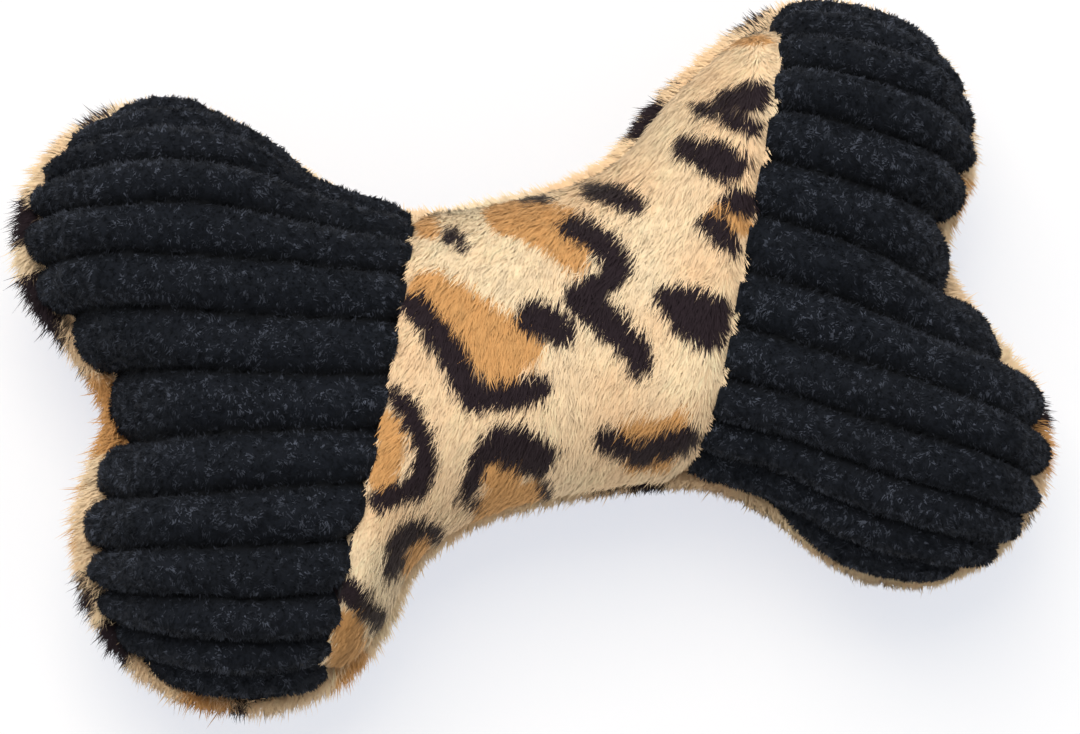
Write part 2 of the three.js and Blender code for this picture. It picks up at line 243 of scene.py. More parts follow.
def addSmooth(piece, rounds):
    relax = piece.modifiers.new("relax", "SMOOTH")
    relax.factor = 0.5
    relax.iterations = rounds


def evenMesh(piece, voxel, rounds):
    # the piece's mesh made again from even cells and smoothed
    remesh = piece.modifiers.new("even", "REMESH")
    remesh.mode = "VOXEL"
    remesh.voxel_size = voxel * mm
    addSmooth(piece, rounds)
    made = finalMesh(piece)
    piece.modifiers.clear()
    return made


def crownFill(ring, reach=(80, 50), step=3.0, margin=1.2):
    # triangles inside the innermost ring, with points spread over it
    lines = [np.arange(-far, far + 1, step) for far in reach]
    grid = np.stack(np.meshgrid(*lines), -1).reshape(-1, 2)
    crossed = np.zeros(len(grid), int)
    for a, b in zip(ring, np.roll(ring, -1, 0)):
        spans = (a[1] > grid[:, 1]) != (b[1] > grid[:, 1])
        rise = b[1] - a[1] or tiny
        crossed += spans & (grid[:, 0] < a[0] + (grid[:, 1] - a[1]) * (b[0] - a[0]) / rise)
    inner = grid[crossed % 2 == 1]
    gap = np.min(np.linalg.norm(inner[:, None] - ring[None], axis=2), axis=1)
    given = [Vector(p) for p in np.vstack([ring, inner[gap > margin]])]
    found = delaunay_2d_cdt(given, [], [range(len(ring))], 1, 1e-5)  # 1 keeps what lies inside
    return np.array([tuple(p) for p in found[0]]), found[2]


def stuffedForm(steps=11, merge=0.05):
    rings = []
    turns = np.linspace(0, math.pi / 2, steps)
    for side in (1, -1):
        for turn in turns if side > 0 else turns[1:]:
            inward = stuffing["riseWidth"] * (1 - math.cos(turn))
            place = edgeLine + edgeInward * inward
            rings.append(np.c_[place, seamZ + side * slackRise(place, side) * math.sin(turn)])
    points = np.vstack(rings)
    count = len(edgeLine)
    order = [list(range(steps)), [0] + list(range(steps, 2 * steps - 1))]
    faces, crowns = [], []
    crownStart = len(points)
    here = np.arange(count)
    ahead = np.roll(here, -1)
    for side, levels in zip((1, -1), order):
        for below, above in zip(np.array(levels) * count, np.array(levels[1:]) * count):
            band = np.stack([below + here, below + ahead, above + ahead, above + here], 1)
            faces += band[:, ::side].tolist()
        crown, inside = crownFill(points[levels[-1] * count:(levels[-1] + 1) * count, :2])
        crowns.append(np.c_[crown, seamZ + side * slackRise(crown, side)])
        faces += [[int(k) + crownStart for k in face][::side] for face in inside]
        crownStart += len(crown)
    points = np.vstack([points] + crowns)
    mesh = bpy.data.meshes.new("stuffed_form")
    mesh.from_pydata((points * mm).tolist(), [], faces)
    bm = bmesh.new()
    bm.from_mesh(mesh)
    bmesh.ops.remove_doubles(bm, verts=bm.verts, dist=merge * mm)
    bm.to_mesh(mesh)
    bm.free()
    form = addObject("stuffed_form", mesh)
    form.data = evenMesh(form, stuffing["voxel"], rounds=6)
    return form


def fillWithPressure(form, heldBand=2.2):
    # the seam is held while the cloth is blown up from its slack start
    rest = corners(form.data)
    held = form.vertex_groups.new(name="seam")
    near = np.abs(rest[:, 2] - seamZ) < heldBand
    held.add(np.nonzero(near)[0].tolist(), 1.0, "REPLACE")
    cloth = form.modifiers.new("cloth", "CLOTH")
    for setting, value in stuffing["cloth"].items():
        setattr(cloth.settings, setting, value)
    cloth.settings.vertex_group_mass = held.name
    cloth.settings.effector_weights.gravity = 0
    cloth.collision_settings.use_collision = False
    for step in range(1, stuffing["frames"] + 1):
        scene.frame_set(step)
    blown = corners(finalMesh(form))
    scene.frame_set(1)
    form.modifiers.clear()
    move = blown - rest
    length = np.linalg.norm(move, axis=1, keepdims=True)
    move = move * np.minimum(1, stuffing["mostSwell"] / np.maximum(length, tiny))
    setCorners(form.data, rest + move)
    print("stuffing: the cloth swelled by up to %.1f mm" % np.linalg.norm(move, axis=1).max())


form = stuffedForm()
fillWithPressure(form)
addSmooth(form, rounds=3)
finer = form.modifiers.new("finer", "SUBSURF")
finer.levels = finer.render_levels = 2
formMesh = finalMesh(form)
bpy.data.objects.remove(form)
shape = corners(formMesh)
shape[:, 2] = np.maximum(shape[:, 2], 0.0)
setCorners(formMesh, shape)
formTree = BVHTree.FromPolygons([tuple(p) for p in shape], [tuple(p.vertices) for p in formMesh.polygons])
print("form:", len(formMesh.vertices), "points, box", shape.min(0).round(1), shape.max(0).round(1))


def topAt(x, y, start=200):
    # the place met from above, and the way that the form faces there
    return formTree.ray_cast(Vector((x, y, start)), Vector((0, 0, -1)))[:2]


# panels: the form is cut at the sewn edge and, in front, at the two slanted joins
panels = {
    "leftJoin": -29.5,
    "rightJoin": 31.5,
    "slant": 0.31,
    "edgeTuck": 1.4,
    "edgeTuckReach": 2.4,
    "joinTuck": 2.0,
    "joinTuckReach": 2.2,
    "turnIn": 3.0,  # the seam allowance turned inside
}
slantUnit = np.array([1, -panels["slant"]]) / math.hypot(1, panels["slant"])


def joinReach(points, joinX):
    # distance past a join, growing towards +X
    return (points[:, 0] - joinX) * slantUnit[0] + points[:, 1] * slantUnit[1]


def cutPanel(front, fromJoin=None, toJoin=None):
    bm = bmesh.new()
    bm.from_mesh(formMesh)
    cuts = [((0, 0, seamZ * mm), (0, 0, -1 if front else 1))]
    across = Vector((slantUnit[0], slantUnit[1], 0))
    joins = [(joinX, way) for joinX, way in ((fromJoin, -across), (toJoin, across)) if joinX is not None]
    cuts += [((joinX * mm, 0, 0), way) for joinX, way in joins]
    for place, normal in cuts:
        everything = bm.verts[:] + bm.edges[:] + bm.faces[:]
        bmesh.ops.bisect_plane(bm, geom=everything, plane_co=place, plane_no=normal, clear_outer=True)
    bmesh.ops.triangulate(bm, faces=bm.faces)
    bm.normal_update()
    bm.verts.index_update()
    points = np.array([v.co for v in bm.verts]) / mm
    normals = np.array([v.normal for v in bm.verts])
    faces = np.array([[v.index for v in f.verts] for f in bm.faces])
    rimLoops = [e.link_loops[0] for e in bm.edges if e.is_boundary]
    rim = [(loop.vert.index, loop.link_loop_next.vert.index) for loop in rimLoops]
    bm.free()
    depth = panels["edgeTuck"] * np.exp(-((points[:, 2] - seamZ) / panels["edgeTuckReach"]) ** 2)
    for joinX, way in joins:
        reach = joinReach(points, joinX) / panels["joinTuckReach"]
        depth = np.maximum(depth, panels["joinTuck"] * np.exp(-reach ** 2))
    return {"points": points, "normals": normals, "faces": faces, "rim": np.array(rim), "tuck": depth}


def facesOut(points, faces):
    # each triangle's normal, twice as long as its area
    corner = points[faces]
    return np.cross(corner[:, 1] - corner[:, 0], corner[:, 2] - corner[:, 0])


def smoothNormals(points, faces):
    facing = facesOut(points, faces)
    total = np.zeros_like(points)
    for i in range(3):
        np.add.at(total, faces[:, i], facing)
    return unit(total)


def panelMesh(name, panel, points, tone, turnShade=0.6, lowest=0.3):
    # the shaped panel with its seam allowance turned in along every edge
    normals = smoothNormals(points, panel["faces"])
    rim, which = np.unique(panel["rim"], return_inverse=True)
    turned = points[rim] - panel["normals"][rim] * panels["turnIn"]
    a, b = panel["rim"].T
    c, d = which.reshape(-1, 2).T + len(points)
    hem = np.vstack([np.c_[b, a, c], np.c_[b, c, d]])
    allPoints = np.vstack([points, turned])
    allPoints[:, 2] = np.maximum(allPoints[:, 2], lowest)
    mesh = triangleMesh(name, allPoints, np.vstack([panel["faces"], hem]))
    # painted shade: the turned-in allowance is darker than the panel's face
    addTone(mesh, np.vstack([tone, tone[rim] * turnShade]))
    return addObject(name, mesh), normals


def triangleMesh(name, points, faces):
    mesh = bpy.data.meshes.new(name)
    mesh.vertices.add(len(points))
    setCorners(mesh, points)
    mesh.loops.add(faces.size)
    mesh.loops.foreach_set("vertex_index", faces.astype(np.int32).ravel())
    mesh.polygons.add(len(faces))
    mesh.polygons.foreach_set("loop_start", np.arange(0, faces.size, 3, dtype=np.int32))
    mesh.polygons.foreach_set("use_smooth", np.ones(len(faces), bool))
    mesh.update(calc_edges=True)
    mesh.validate()
    return mesh


def repeated(faces, count, per):
    # the same few faces for each of many pieces with that many points
    return (np.array(faces)[None] + (np.arange(count) * per)[:, None, None]).reshape(-1, 3)


def addTone(mesh, tone):
    colour = mesh.attributes.new("tone", "FLOAT_COLOR", "POINT")
    colour.data.foreach_set("color", np.c_[tone, np.ones(len(tone))].astype(np.float32).ravel())


# finishes, which share one shader group
def setInputs(tree, node, inputs):
    # each input is given a value or joined to another node's output
    for label, value in inputs.items():
        if isinstance(value, bpy.types.NodeSocket):
            tree.links.new(value, node.inputs[label])
        else:
            node.inputs[label].default_value = value


def addNode(tree, kind, inputs, operation=None):
    made = tree.nodes.new("ShaderNode" + kind)
    if operation:
        made.operation = operation
    setInputs(tree, made, inputs)
    return made


fleckInputs = ("Fleck Scale", "Fleck Amount", "Drift Amount")


def fleckGroup():
    # colour broken up by fine fibre flecks and a slower drift
    group = bpy.data.node_groups.new("fibre flecks", "ShaderNodeTree")
    for way, sockets in (("INPUT", ("Color", *fleckInputs)), ("OUTPUT", ("Color", "Height"))):
        for label in sockets:
            kind = "NodeSocketColor" if label == "Color" else "NodeSocketFloat"
            group.interface.new_socket(label, in_out=way, socket_type=kind)
    given = group.nodes.new("NodeGroupInput").outputs
    place = addNode(group, "TexCoord", {}).outputs["Object"]
    fine = addNode(group, "TexNoise", {"Vector": place, "Scale": given["Fleck Scale"], "Detail": 3})
    slow = addNode(group, "TexNoise", {"Vector": place, "Scale": 45, "Detail": 2})
    factors = []
    for source, amount in ((fine, "Fleck Amount"), (slow, "Drift Amount")):
        centred = addNode(group, "Math", {0: source.outputs["Fac"], 1: 0.5}, "SUBTRACT").outputs[0]
        scaled = addNode(group, "Math", {0: centred, 1: given[amount], 2: 1.0}, "MULTIPLY_ADD")
        factors.append(scaled.outputs[0])
    both = addNode(group, "Math", dict(enumerate(factors)), "MULTIPLY").outputs[0]
    tint = addNode(group, "VectorMath", {0: given["Color"], "Scale": both}, "SCALE").outputs[0]
    out = group.nodes.new("NodeGroupOutput")
    setInputs(group, out, {"Color": tint, "Height": fine.outputs["Fac"]})
    return group


flecks = fleckGroup()


def grainFinish(name, settings, bumpDepth=0.4):
    # a fibrous or moulded finish, in one colour or in the mesh's own tones
    material = bpy.data.materials.new(name)
    material.use_nodes = True
    tree = material.node_tree
    fleck = addNode(tree, "Group", {})
    fleck.node_tree = flecks
    if "colour" in settings:
        colour = (*settings["colour"], 1)
    else:
        tone = addNode(tree, "Attribute", {})
        tone.attribute_name = "tone"
        colour = tone.outputs["Color"]
    setInputs(tree, fleck, {"Color": colour, **dict(zip(fleckInputs, settings["flecks"]))})
    bump = addNode(tree, "Bump", {"Strength": settings["bump"], "Distance": bumpDepth * mm,
                                  "Height": fleck.outputs["Height"]})
    setInputs(tree, tree.nodes["Principled BSDF"], {
        "Base Color": fleck.outputs["Color"], "Normal": bump.outputs["Normal"], "Sheen Roughness": 0.5,
        **settings["shader"]})
    return material


plushFinish = grainFinish("printed plush", {
    "flecks": (900, 0.12, 0.1),
    "shader": {"Roughness": 0.8, "Specular IOR Level": 0.25, "Sheen Weight": 0.15,
               "Sheen Tint": (*linear(255, 240, 215), 1)},
    "bump": 0.3,
})
cordFinish = grainFinish("black corduroy", {
    "flecks": (1400, 0.9, 0.5),
    "shader": {"Roughness": 0.85, "Specular IOR Level": 0.2, "Sheen Weight": 0.05,
               "Sheen Tint": (*linear(150, 155, 170), 1)},
    "bump": 0.6,
})
threadFinish = grainFinish("sewing thread", {
    "colour": linear(40, 36, 38),
    "flecks": (3000, 0.5, 0.1),
    "shader": {"Roughness": 0.6, "Specular IOR Level": 0.4, "Sheen Weight": 0.1,
               "Sheen Tint": (*linear(200, 200, 200), 1)},
    "bump": 0.5,
})
fillFinish = grainFinish("polyester fill", {
    "colour": linear(238, 237, 232),
    "flecks": (1200, 0.3, 0.1),
    "shader": {"Roughness": 0.9, "Specular IOR Level": 0.2, "Sheen Weight": 0.2},
    "bump": 0.8,
})


# strands: each is a thin three-sided blade, bent over and drawn together into tufts
def scatter(points, faces, density, count, rng, *others):
    # random places on the cloth, and what it has there of the other values
    area = np.linalg.norm(facesOut(points, faces), axis=1)
    share = np.cumsum(area * density[faces].mean(1))
    pick = np.minimum(np.searchsorted(share, rng.random(count) * share[-1]), len(faces) - 1)
    r = np.sqrt(rng.random(count))
    s = rng.random(count)
    weights = np.stack([1 - r, r * (1 - s), r * s], 1)
    return [np.einsum("ij,ij...->i...", weights, values[faces[pick]]) for values in (points, *others)]


def tufted(roots, size, seed, driftSize=2.3, driftFar=0.9):
    # the way from each root to the middle of its tuft
    drift = varied(roots, (size * driftSize, 1), seed, 3)
    cell = np.floor((roots + drift * size * driftFar) / size).astype(np.int64)
    which = np.unique(cell, axis=0, return_inverse=True)[1].ravel()
    number = np.bincount(which)
    middle = np.stack([np.bincount(which, roots[:, i]) / number for i in range(3)], 1)
    return middle[which] - roots


def strandMesh(name, roots, bends, tips, width, tone, facing, roll, rng,
               thick=0.3, lowest=0.12, margin=0.2):
    # from the root, by a ring where it is bent, to a point at the tip
    count = len(roots)
    along = unit(tips - roots)
    up = facing + rng.normal(size=(count, 3)) * roll
    up = unit(up - along * np.sum(up * along, 1, keepdims=True))
    side = np.cross(along, up)
    ring = [out * width[:, None] for out in (-0.5 * side, thick * up, 0.5 * side)]
    if bends is None:
        rows = [roots + out for out in ring] + [tips]
        faces = [[2, 1, 0], [0, 1, 3], [1, 2, 3], [2, 0, 3]]
        level = [0, 0, 0, 1]
        lane = [0, 0.5, 1, 0.5]
    else:
        rows = [roots] + [bends + out for out in ring] + [tips]
        faces = [[0, 2, 1], [0, 3, 2], [0, 1, 3], [1, 2, 4], [2, 3, 4], [3, 1, 4]]
        level = [0, 0.5, 0.5, 0.5, 1]
        lane = [0.5, 0, 0.5, 1, 0.5]
    per = len(rows)
    points = np.stack(rows, 1).reshape(-1, 3)
    points[:, 2] = np.maximum(points[:, 2], lowest)
    every = repeated(faces, count, per)
    mesh = triangleMesh(name, points, every)
    addTone(mesh, np.repeat(tone, per, 0))
    # lit as a soft whole: strands take their facing from the cloth
    mesh.normals_split_custom_set_from_vertices(np.repeat(facing, per, 0).tolist())
    # each strand has its own cell in the texture map
    columns = math.ceil(math.sqrt(count))
    row, column = np.divmod(np.arange(count), columns)
    spread = [(cell[:, None] / columns + (margin + (1 - 2 * margin) * np.array(share)) / columns).ravel()
              for cell, share in ((column, level), (row, lane))]
    layer = mesh.uv_layers.new(name="OFBake")
    layer.data.foreach_set("uv", np.stack(spread, 1)[every.ravel()].astype(np.float32).ravel())
    return addObject(name, mesh)


# the spotted print: strokes on cream, each as its width and then the x and y of its points
spots = {
    "creams": [linear(255, 228, 187), linear(255, 214, 167)],
    "tan": linear(221, 164, 101),
    "dark": linear(34, 21, 27),
    "spread": 0.8,  # pile spreads each stroke by this much
    "seenAt": 0.45,  # a strand shows the print's colour at this share of its length
    "front": {
        "dark": [
            (1.8, -15.1, 22.3, -16.6, 20.4), (1.6, -14, 21.3, -14.2, 18.5), (1.3, -0.3, 27.2, 4.1, 26.8),
            (4.4, 6, 20.1, 9.7, 17.2, 12.2, 13.3), (4, 12.2, 13.3, 12.5, 10.2, 9.3, 8.4),
            (3.6, 9.3, 8.4, 6.5, 8.7, 3.5, 8.3),
            (4.7, 4.4, 7.1, 7.6, 3.9, 11.2, 0.6, 13.3, -3.1, 13.9, -5.5),
            (5.8, -3.9, 4.5, -1.6, 2.8, 0.4, 1.1),
            (5.1, -24.3, 8.4, -21.5, 2.5, -18.2, -4.2, -15.3, -8.5),
            (4.7, -15.3, -8.5, -10, -9.5, -4.4, -8), (7.4, 21.8, 4, 25.7, 2.6, 28.2, 1.1),
            (7, 23.5, 0.2, 26, -1.6), (3.3, 6, -17.6, 9, -20.3, 14.5, -21.1, 22.1, -20.1),
            (6, -11.6, -17.2, -8.2, -18.3, -4.8, -19.7), (3.1, -14.4, -17.4, -17.1, -20.2, -18.7, -24.1),
            (1.6, -4.2, -24.5, -3.4, -26.4), (1.5, -18.7, -25.5, -16.2, -27.4),
            (3.6, -29.6, -7.3, -27.1, -13, -25.9, -18.5, -28.1, -23.3, -34.7, -25),
            (4.7, 12.1, 26.3, 14.6, 25.5, 17.1, 23.2), (3.6, 33.6, 20.7, 37.5, 19.9),
            (3.3, 29.8, 16.8, 31.7, 14.8, 33.3, 13.1), (5.5, 29.1, 31.6, 32.1, 29.7, 35.3, 27.5),
            (4.4, 36.7, 39.6, 41.7, 39.3), (3.3, 36.9, 35.6, 39.6, 33.8), (1.8, 31.8, 38.7, 35.2, 37.9),
            (2.6, 41.2, 54.9, 47.7, 54.4), (3.1, -23.6, -31, -28.3, -29.7, -31.9, -31.8, -34.2, -36.8),
            (4, -43.3, -39.3, -40.2, -42, -37, -44.4),
        ],
        "tan": [
            (3.3, -18.7, 25.2, -19, 23.3), (6.2, -5.9, 23.1, -1.8, 21.6, 1.9, 18.5, 4.7, 14.8),
            (5.6, -4.2, 25.6, 1.2, 24, 5.4, 20.6), (7.3, -21.8, 10.6, -17.2, 7.9, -13.1, 4.9, -8.9, 2.2),
            (7.3, -15.9, 3.9, -12.8, 0, -10.5, -3.3), (4.7, -8.1, 1.2, -6.1, -1.4),
            (2.6, 10.8, -17.5, 16.3, -17.8, 20.7, -16.9), (1.6, 11.4, -22.9, 18, -23.3),
            (6, -12.6, -22, -11.4, -24.6, -11.6, -26.8, -13, -28.2), (3.6, -6.8, -25, -7, -27.7),
            (4.7, -32.8, -12.5, -32, -16.5, -33.8, -20.6), (2.6, 31.2, 19.6, 33.9, 17.4, 36.3, 16.4),
            (2.9, 39, 52, 45.1, 50.6), (3.3, -27.4, -32.7, -29.7, -35.6),
            (6.2, -42.8, -47.3, -43.5, -51.3),
        ],
    },
    "rim": {
        "dark": [
            (5, -91, 38.5, -91, 33.5), (5.5, -91, 22, -88, 13), (2.5, -84.5, 7, -83.5, 5),
            (5, -89.4, -31, -88.5, -35.5), (4.5, -84.5, -42, -82.5, -45), (1.2, -64, -57.5, -63, -57.5),
            (2, 5.5, -25.5, 10, -25.5), (2, 13.5, -26, 18, -26.5), (4.5, 92, -19, 91.5, -23),
            (3, 88.5, -40.5, 87, -43), (4, 87, 31, 87, 27), (4.5, 41, 56, 49, 58),
            (2.6, 32.7, 49.5, 31.5, 48), (2.6, 29.4, 46.5, 28.6, 45.5), (2.6, 27.2, 41.8, 26.6, 40.6),
            (2.6, 24.8, 38.4, 24, 37.2), (4, -77, 52.5, -73, 54), (3, -84, 47.5, -82.5, 49),
        ],
        "tan": [
            (8, -81.5, 1.5, -80.5, -5.5), (7, -87, -11, -90, -18), (5, -90.5, -22, -90, -28),
            (1.6, -72, -54, -66, -57), (1.8, -45, -55, -40, -51), (5, 91.5, -25, 91, -31),
            (4, 84, 20, 81, 14),
        ],
    },
    "wander": (4.5, 0.9),  # the strokes' edges wander: how often and how far
    "edgeSoft": 0.45,
    "driftSize": 9.0,
    "seed": 7,
}

# the back's print: rosettes and plain spots in rows, none like another
rosettes = {
    "rows": 5,  # on each side of the middle
    "columns": 7,
    "spacing": 15.0,
    "rowShare": 0.87,
    "jitter": 3.2,
    "rimMargin": 9.0,
    "plainShare": 0.3,
    "plainReach": (1.5, 3.5),
    "plainWidth": (3.0, 5.2),
    "size": (4.2, 6.2),
    "stretch": (0.7, 1.2),
    "middleShare": 1.3,
    "arcs": (2, 4),
    "sweep": (0.45, 0.8),
    "arcWidth": (2.6, 3.8),
    "seed": 58,
}


def strokesOf(given):
    return [(tone, stroke[0], np.reshape(stroke[1:], (-1, 2)))
            for tone, strokes in given.items() for stroke in strokes]


def backSpots(arcPoints=5):
    rng = np.random.default_rng(rosettes["seed"])
    strokes = []
    for row in range(-rosettes["rows"], rosettes["rows"] + 1):
        for column in range(-rosettes["columns"], rosettes["columns"] + 1):
            middle = np.array([column + 0.5 * (row % 2), row * rosettes["rowShare"]]) * rosettes["spacing"]
            middle = middle + rng.uniform(-rosettes["jitter"], rosettes["jitter"], 2)
            kind = rng.random()
            start = rng.uniform(0, 2 * math.pi)
            if np.min(np.linalg.norm(edgeLine - middle, axis=1)) < rosettes["rimMargin"]:
                continue
            if kind < rosettes["plainShare"]:
                reach = rng.uniform(*rosettes["plainReach"])
                way = np.array([math.cos(start), math.sin(start)]) * reach
                strokes.append(("dark", rng.uniform(*rosettes["plainWidth"]), [middle - way, middle + way]))
                continue
            size = rng.uniform(*rosettes["size"])
            stretch = rng.uniform(*rosettes["stretch"])
            strokes.append(("tan", size * rosettes["middleShare"], [middle - (1, 0.5), middle + (1, 0.5)]))
            arcs = int(rng.integers(*rosettes["arcs"]))
            for k in range(arcs):
                begin = start + 2 * math.pi * k / arcs
                sweep = 2 * math.pi / arcs * rng.uniform(*rosettes["sweep"])
                line = [middle + size * np.array([math.cos(t), stretch * math.sin(t)])
                        for t in np.linspace(begin, begin + sweep, arcPoints)]
                strokes.append(("dark", rng.uniform(*rosettes["arcWidth"]), line))
    return strokes + strokesOf(spots["rim"])


def strokeReach(places, line):
    nearest = np.full(len(places), np.inf)
    line = np.array(line, float)
    for a, b in zip(line, line[1:]):
        way = b - a
        t = np.clip(((places - a) @ way) / max(way @ way, tiny), 0, 1)
        nearest = np.minimum(nearest, np.linalg.norm(places - a - t[:, None] * way, axis=1))
    return nearest


def printTone(places, strokes, rng, fuzz):
    # the print's colour at each place on the bone
    wander = varied(places, spots["wander"], spots["seed"], 2)
    at = places + wander + rng.normal(size=places.shape) * fuzz
    amount = {"tan": np.zeros(len(at)), "dark": np.zeros(len(at))}
    soft = spots["edgeSoft"]
    for kind, width, line in strokes:
        mask = smoothStep(soft, -soft, strokeReach(at, line) - (width + spots["spread"]) / 2)
        amount[kind] = np.maximum(amount[kind], mask)
    drift = 0.5 + 0.5 * noise(places, spots["driftSize"], spots["seed"] + 5)
    tone = blend(*spots["creams"], drift[:, None])
    for kind, share in amount.items():
        tone = blend(tone, spots[kind], share[:, None])
    return tone


# plush: cut pile over the middle of the front and the whole back
pile = {
    "sink": 1.0,  # the backing lies below the pile's own surface
    "length": 4.6,
    "lengthShare": (0.74, 1.06),
    "stand": 0.15,
    "edgeStand": 0.85,
    "width": 0.21,
    "widthShare": (0.75, 1.25),
    "frontStrands": 60000,
    "backStrands": 112000,
    "perPiece": 30000,
    "rim": [  # x, y and the length of pile there, round the sewn edge
        (-90, 38, 6.4), (-91, 24, 6.8), (-86, 10, 6), (-80, -3, 6.4), (-88, -16, 6.6), (-90, -30, 6.6),
        (-85, -43, 6.6), (-72, -54, 6.6), (-56, -58, 6), (-42, -52, 5.4), (-28, -37, 4.2), (-8, -27, 3.8),
        (14, -26, 3.8), (34, -32, 3.6), (50, -46, 3.4), (68, -51, 3.2), (84, -44, 3.8), (91, -26, 4.8),
        (86, -8, 4), (77, 6, 4.2), (84, 22, 4.2), (82, 42, 3.4), (66, 57, 2.8), (48, 57, 4),
        (33, 47, 4.4), (22, 36, 4.2), (4, 28, 3.6), (-18, 26, 3), (-34, 33, 2.4), (-46, 43, 2.4),
        (-58, 51, 2.8), (-70, 54, 4.4), (-82, 48, 4.8),
    ],
    "combAngle": 240.0,
    "combSwing": (14.0, 20.0),  # how often and how far the comb's way turns
    "combStray": 12,
    "overPush": (1.2, -0.4, 0),  # beside the right join the pile is pushed over the cord
    "overReach": 4,
    "overRise": 2,
    "stray": (0.07, 0.11),  # lying, and what standing adds to it
    "bendRise": (0.04, 0.6),
    "bendAlong": 0.55,
    "tufts": [(3.2, 0.3), (1.4, 0.5)],  # how wide, and how far strands are drawn in
    "tuftStand": 0.3,
    "streaks": [(1.5, 0.07), (6.0, 0.05)],
    "toneShare": (0.95, 1.05),
    "liftFrom": (0.35, 0.8),  # pile that stands is lit more as if it faced up
    "lift": (0, 0, 1.3),
    "roll": 0.3,
    "fuzz": 0.45,
    "seed": 91,
}


def laidOver(flat, facing, front, least=0.1):
    # a direction in the flat cloth, turned to the way that the cloth faces
    start = np.array([0.0, 0.0, 1.0 if front else -1.0])
    turn = np.cross(start, facing)
    level = (facing @ start)[:, None]
    swung = turn * np.sum(turn * flat, 1, keepdims=True) / np.maximum(1 + level, least)
    return flat * level + np.cross(turn, flat) + swung


def plushPanel(name, panel, strokes, count, densityAt, lengthAt, standAt, rng):
    points = panel["points"] - panel["normals"] * (panel["tuck"] + pile["sink"])[:, None]
    skin, normals = panelMesh(name, panel, points, printTone(points[:, :2], strokes, rng, 0.0))
    roots, out = scatter(points, panel["faces"], densityAt(points), count, rng, normals)
    out = unit(out)
    swing = pile["combAngle"] + varied(roots, pile["combSwing"], pile["seed"])
    swing = np.radians(swing + pile["combStray"] * rng.normal(size=count))
    comb = np.stack([np.cos(swing), np.sin(swing), np.zeros(count)], 1)
    comb = laidOver(comb, out, points[:, 2].mean() > seamZ)
    beside = smoothStep(pile["overReach"], 0, np.abs(joinReach(roots, panels["rightJoin"])))
    over = beside * smoothStep(seamZ, seamZ + pile["overRise"], roots[:, 2])
    comb = comb + np.array(pile["overPush"]) * over[:, None]
    comb = unit(comb - out * np.sum(comb * out, 1, keepdims=True))
    stand = standAt(roots)[:, None]
    stray = rng.normal(size=(count, 3)) * (pile["stray"][0] + pile["stray"][1] * stand)
    length = (lengthAt(roots) * rng.uniform(*pile["lengthShare"], count))[:, None]
    lean = np.sqrt(1 - stand ** 2)
    rise = pile["bendRise"][0] + pile["bendRise"][1] * stand
    bends = roots + length * (out * rise + comb * lean * pile["bendAlong"] + stray * 0.5)
    tips = roots + length * (out * stand + comb * lean + stray)
    for size, pull in pile["tufts"]:
        gather = tufted(roots, size, pile["seed"] + int(10 * size)) * (pull + pile["tuftStand"] * stand)
        gather = gather * np.minimum(length / pile["length"], 1)
        bends = bends + gather * 0.5
        tips = tips + gather
    seenAt = roots[:, :2] + (tips - roots)[:, :2] * spots["seenAt"]
    tone = printTone(seenAt, strokes, rng, pile["fuzz"])
    streak = 1
    for k, change in enumerate(pile["streaks"]):
        streak = streak + varied(roots, change, pile["seed"] + 60 + k)
    tone = np.minimum(tone * (streak * rng.uniform(*pile["toneShare"], count))[:, None], 1)
    width = pile["width"] * rng.uniform(*pile["widthShare"], count)
    facing = unit(out + np.array(pile["lift"]) * smoothStep(*pile["liftFrom"], stand))
    made = []
    for k, start in enumerate(range(0, count, pile["perPiece"])):
        part = slice(start, start + pile["perPiece"])
        made.append(strandMesh("%s_pile_%d" % (name, k + 1), roots[part], bends[part], tips[part],
                               width[part], tone[part], facing[part], pile["roll"], rng))
    for piece in [skin] + made:
        piece.data.materials.append(plushFinish)
    return skin, made


def even(value):
    return lambda points: np.full(len(points), value)


def centreLength(roots, leftFade=5, rightFade=4, edgeFade=7, joinShort=0.45, edgeShort=0.6):
    # shorter where the pile would cover a join or the sewn edge
    left = smoothStep(0, leftFade, joinReach(roots, panels["leftJoin"]))
    right = smoothStep(0, rightFade, -joinReach(roots, panels["rightJoin"]))
    edge = smoothStep(0, edgeFade, roots[:, 2] - seamZ)
    return pile["length"] * atLeast(joinShort, left * right) * atLeast(edgeShort, edge)


def rimShare(points, reach=12):
    # 1 at the sewn edge and 0 from that far down
    return smoothStep(-reach, 0, points[:, 2] - seamZ)


def rimLength(roots, spread=11):
    # the lengths given round the edge, blended into the back's plain pile
    near = rimShare(roots)
    given = np.array(pile["rim"])
    reach = np.linalg.norm(roots[:, None, :2] - given[None, :, :2], axis=2)
    weight = np.exp(-(reach / spread) ** 2) + tiny
    edge = (weight * given[:, 2]).sum(1) / weight.sum(1)
    return pile["length"] * (1 - near) + edge * near


def rimStand(roots):
    return pile["stand"] + (pile["edgeStand"] - pile["stand"]) * rimShare(roots, reach=16) ** 2


def rimDensity(points, least=0.5, more=2.0):
    return least + more * rimShare(points)


rng = np.random.default_rng(pile["seed"])
softPieces = []
centre = cutPanel(True, panels["leftJoin"], panels["rightJoin"])
centreSkin, centrePile = plushPanel("plush_centre", centre, strokesOf(spots["front"]), pile["frontStrands"],
                                    even(1.0), centreLength, even(pile["stand"]), rng)
backSkin, backPile = plushPanel("plush_back", cutPanel(False), backSpots(), pile["backStrands"],
                                rimDensity, rimLength, rimStand, rng)
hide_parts("front_centre_panel")
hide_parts("back_panel")
for k, piece in enumerate(centrePile + backPile):
    piece.visible_shadow = k % 2 == 0  # thin fibres let light through to each other
softPieces += [(p, "print_plush") for p in [centreSkin, backSkin] + centrePile + backPile]
print("plush:", pile["frontStrands"] + pile["backStrands"], "strands")


